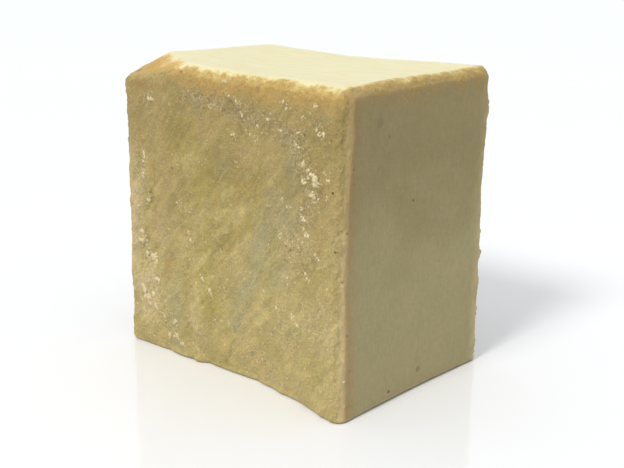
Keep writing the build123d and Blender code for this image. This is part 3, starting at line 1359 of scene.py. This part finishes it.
    def rim_colour(self, board: Board, torn: Socket, colour: Feed) -> Socket:
        """Colours the crown, and the amber band that its edge fades into.

        Args:
            board: The material's board.
            torn: How much of the torn face there is.
            colour: The colour of the upright faces.

        Returns:
            The colour.
        """
        waver = board.grade(board.noise(0.17, 2.0), 0.3, 0.7, -0.8, 0.8)
        waver = board.plus(waver, board.grade(board.noise(0.7, 4.0, 0.6), 0.3, 0.7, -0.7, 0.7))
        broken = board.read("broken")
        reach = board.times(board.read("below"), board.grade(broken, 0.0, 1.0, 1.0, 0.5))
        below = board.math("MULTIPLY_ADD", waver, board.grade(reach, 0.0, 0.7), reach)
        amber = board.mix(torn, self.side_amber, self.amber)
        gold = board.mix(torn, self.side_gold, self.gold)
        band = board.grade(below, 6.8, 2.4)
        colour = board.mix(board.times(band, 0.92), colour, amber)
        colour = board.mix(board.grade(below, 3.4, 1.5), colour, gold)
        colour = board.tint(colour, broken, self.golden)
        stain = board.grade(board.noise(0.9, 3.0), 0.3, 0.6, 0.4, 1.0)
        colour = board.mix(board.times(board.read("stain"), stain), colour, self.stain)
        grains = board.noise(2.3, 2.0, 0.6)
        coarse = board.plus(board.math("MAXIMUM", torn, band), board.times(board.read("crumbly"), 0.7))
        coarse = board.math("SUBTRACT", coarse, board.times(broken, 0.5))
        deep = board.times(board.plus(0.2, coarse), board.math("SUBTRACT", grains, 0.5))
        colour = board.shade(colour, board.math("MULTIPLY_ADD", deep, self.grains, third=1.0))
        colour = board.mix(board.grade(below, 2.1, 0.5), colour, self.straw)
        streaks = board.streaks((0.12, 0.8, 0.8), 3.0)
        crown = board.mix(board.grade(streaks, 0.3, 0.7), self.cream_deep, self.cream)
        return board.mix(board.grade(below, 1.0, -0.2), colour, crown)

    def speck(self, board: Board, speck: Speck) -> Socket:
        """Marks one speck, with a ragged outline.

        Args:
            board: The material's board.
            speck: The speck.

        Returns:
            The speck's mask.
        """
        feeds = {0: board.place, 1: speck.point}
        reach = board.add("ShaderNodeVectorMath", feeds, operation="DISTANCE").outputs["Value"]
        return board.grade(reach, speck.radius, 0.5 * speck.radius, 0.0, speck.amount)

    def crack_shade(self, board: Board) -> Socket:
        """Paints the shade in the hair cracks, as thin dark lines.

        Args:
            board: The material's board.

        Returns:
            The mask of the painted crack shade.
        """
        aside = board.math("ABSOLUTE", board.read("crack_side"))
        width = board.grade(board.noise(1.2), 0.3, 0.7, 0.06, 0.26)
        amount = board.times(board.read("crack_shade"), 0.45)
        return board.times(board.grade(aside, width, 0.02), amount)

    def height(self, board: Board, torn: Socket, grain: Socket, flakes: Socket) -> Socket:
        """Works out the relief that is too fine for the mesh.

        Args:
            board: The material's board.
            torn: How much of the torn face there is.
            grain: The fine upright grain.
            flakes: The mask of the flakes' rims.

        Returns:
            The height in millimetres.
        """
        crumbly = board.read("crumbly")
        scratches = board.streaks((2.2, 2.2, 0.35), 3.0, self.drag)
        lumps = board.times(board.noise(2.0, 4.0, 0.6), board.grade(crumbly, 0.0, 1.0, 0.32, 0.6))
        rough = board.plus(board.times(scratches, 0.2), lumps)
        rough = board.plus(rough, board.times(flakes, 0.12))
        smooth = board.times(grain, 0.05)
        smooth = board.plus(smooth, board.times(board.noise(2.2, 3.0), 0.05))
        rough = board.times(rough, torn)
        smooth = board.times(smooth, board.math("SUBTRACT", 1.0, torn))
        return board.plus(rough, smooth)


# Dark specks and stains on each face: how far across and up it, the radius and the strength
SPECKS = {
    Face.FRONT: (
        (29.5, 46.9, 0.38, 1), (-17.5, 44.1, 0.34, 0.75), (22.2, 57.1, 0.32, 0.6), (29.2, 57, 0.4, 0.45),
        (30.4, 35.4, 0.36, 0.8), (31.2, 44.8, 0.34, 0.35), (-24.7, 37.4, 0.3, 0.7), (-30, 63.9, 0.85, 0.7),
        (-31.2, 63, 0.6, 0.4), (-13.7, 65.4, 0.42, 0.55), (-12.6, 17.8, 0.36, 0.6), (-15.2, 22, 0.4, 0.4),
        (5.1, 6.6, 0.7, 0.35), (9.3, 64.4, 0.8, 0.3), (10.4, 37.9, 0.55, 0.25), (17, 33.7, 0.34, 0.5),
        (18, 33, 0.36, 0.4), (-32.6, 49.4, 0.9, 0.3), (25.8, 16.6, 0.34, 0.3), (12.4, 11.6, 0.3, 0.4),
    ),
    Face.RIGHT: (
        (-14.1, 59.6, 1.2, 0.22), (-10.9, 56.5, 0.42, 0.4), (-11.7, 42.7, 0.36, 0.25),
        (-2, 42.1, 0.36, 0.9), (-8.8, 2.4, 0.5, 0.8), (1.2, 4.4, 0.9, 0.35), (-21.9, 39.1, 0.36, 0.5),
        (-21.2, 51.6, 0.34, 0.4), (-20.8, 48.7, 0.3, 0.35), (-22.6, 29.4, 0.34, 0.45),
        (-22, 18.4, 0.34, 0.45), (-21.4, 11, 0.34, 0.4), (8, 27, 0.3, 0.3),
    ),
    Face.LEFT: (
        (6, 41, 0.4, 0.6), (-9, 20, 0.36, 0.5),
    ),
    Face.BACK: (
        (12, 46, 0.42, 0.6), (-16, 22, 0.38, 0.5),
    ),
    Face.CROWN: (
        (-17.5, -15.7, 0.36, 0.35), (14.2, -19.3, 0.34, 0.5), (18.3, -20.8, 0.3, 0.5),
        (31.5, 3.2, 0.32, 0.6), (-8, 6, 0.3, 0.4),
    ),
}


@dataclass(frozen=True)
class FloorFinish:
    """The plain pale floor, with a faint sheen: dimmer where it lights the block than where it is seen."""

    seen: Colour = (0.97, 0.975, 0.98)
    lit: Colour = (0.70, 0.70, 0.70)
    roughness: float = 0.08
    bending: float = 1.42

    def make(self) -> bpy.types.Material:
        """Builds the material.

        Returns:
            The material.
        """
        material = bpy.data.materials.new("pale_floor")
        board = open_board(material)
        colour = board.seen_or_lit(self.seen, self.lit)
        feeds = {"Base Color": colour, "Roughness": self.roughness, "IOR": self.bending}
        shader = board.add("ShaderNodeBsdfPrincipled", feeds)
        board.add("ShaderNodeOutputMaterial", {"Surface": shader.outputs["BSDF"]})
        return material


@dataclass(frozen=True)
class SoftSun:
    """A wide soft light from far off, which lights the floor evenly to its edge."""

    name: str
    elevation: float
    spread: float
    strength: float
    azimuth: float = 3.0  # degrees, turned as the camera's is
    colour: Colour = (1.0, 0.985, 0.96)

    def make(self) -> None:
        """Adds the light."""
        data = bpy.data.lights.new(self.name, "SUN")
        data.energy = self.strength
        data.angle = math.radians(self.spread)
        data.color = self.colour
        sun = bpy.data.objects.new(self.name, data)
        sun.rotation_euler = direction(self.azimuth, self.elevation).to_track_quat("Z", "Y").to_euler()
        bpy.context.scene.collection.objects.link(sun)


@dataclass(frozen=True)
class Surroundings:
    """The pale room: dimmer where it lights the block than where it is seen or mirrored."""

    seen: Colour = (0.95, 0.975, 0.99)
    lit: Colour = (0.42, 0.44, 0.47)

    def make(self) -> None:
        """Sets the world."""
        world = bpy.data.worlds.new("surroundings")
        board = open_board(world)
        colour = board.seen_or_lit(self.seen, self.lit)
        background = board.add("ShaderNodeBackground", {"Color": colour, "Strength": 1.0})
        board.add("ShaderNodeOutputWorld", {"Surface": background.outputs["Background"]})
        bpy.context.scene.world = world


@dataclass
class Studio:
    """The floor, the soft light and the camera."""

    azimuth: float = 42.1
    elevation: float = 16.27
    roll: float = 0.69
    distance: float = 247.9
    aim: tuple[float, float, float] = (2.69, 0.43, 28.42)
    lens: float = 63.57
    near: float = 10.0  # nothing nearer to the camera is drawn
    floor_size: float = 8000.0

    def build(self) -> None:
        """Sets up the floor, the light and the camera."""
        self.lay_floor()
        SoftSun("key", 45.0, 16.0, 1.72).make()
        SoftSun("overhead", 88.0, 80.0, 0.76).make()
        Surroundings().make()
        self.place_camera()

    def lay_floor(self) -> None:
        """Lays the floor, which isn't part of the object."""
        deselect_all()
        bpy.ops.mesh.primitive_plane_add(size=self.floor_size * MM, location=(0.0, 0.0, 0.0))
        floor = bpy.context.object
        floor.name = "floor"
        floor.data.materials.append(FloorFinish().make())

    def place_camera(self) -> None:
        """Places the camera by its direction and distance."""
        turn = math.radians(self.azimuth)
        back = direction(self.azimuth, self.elevation)
        right = Vector((math.cos(turn), math.sin(turn), 0.0))
        level = Matrix((right, back.cross(right), back)).transposed()
        data = bpy.data.cameras.new("camera")
        data.lens = self.lens
        data.clip_start = self.near * MM
        camera = bpy.data.objects.new("camera", data)
        rolled = level @ Matrix.Rotation(math.radians(self.roll), 3, "Z")
        place = (Vector(self.aim) + back * self.distance) * MM
        camera.matrix_world = Matrix.Translation(place) @ rolled.to_4x4()
        bpy.context.scene.collection.objects.link(camera)
        bpy.context.scene.camera = camera
        bpy.context.scene.view_settings.view_transform = "Standard"


def main() -> None:
    """Builds the block, dresses it and sets the studio round it."""
    logging.basicConfig(level=logging.INFO, format="%(name)s: %(message)s")
    finish = SoapFinish()
    block = SoapBlock().build()
    crumbs = Crumbs().build(block)
    skin = surface_of(block)
    specks = [
        Speck(skin_point(skin, face, across, up), radius, amount)
        for face, rows in SPECKS.items()
        for across, up, radius, amount in rows
    ]
    block.data.materials.append(finish.make(specks))
    crumbs.data.materials.append(finish.make_crumbs())
    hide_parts(NODE)
    for piece in (block, crumbs):
        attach(piece, BODY)
        LOG.info("%s: %d faces", piece.name, len(piece.data.polygons))
    Studio().build()


if __name__ == "__main__":
    main()
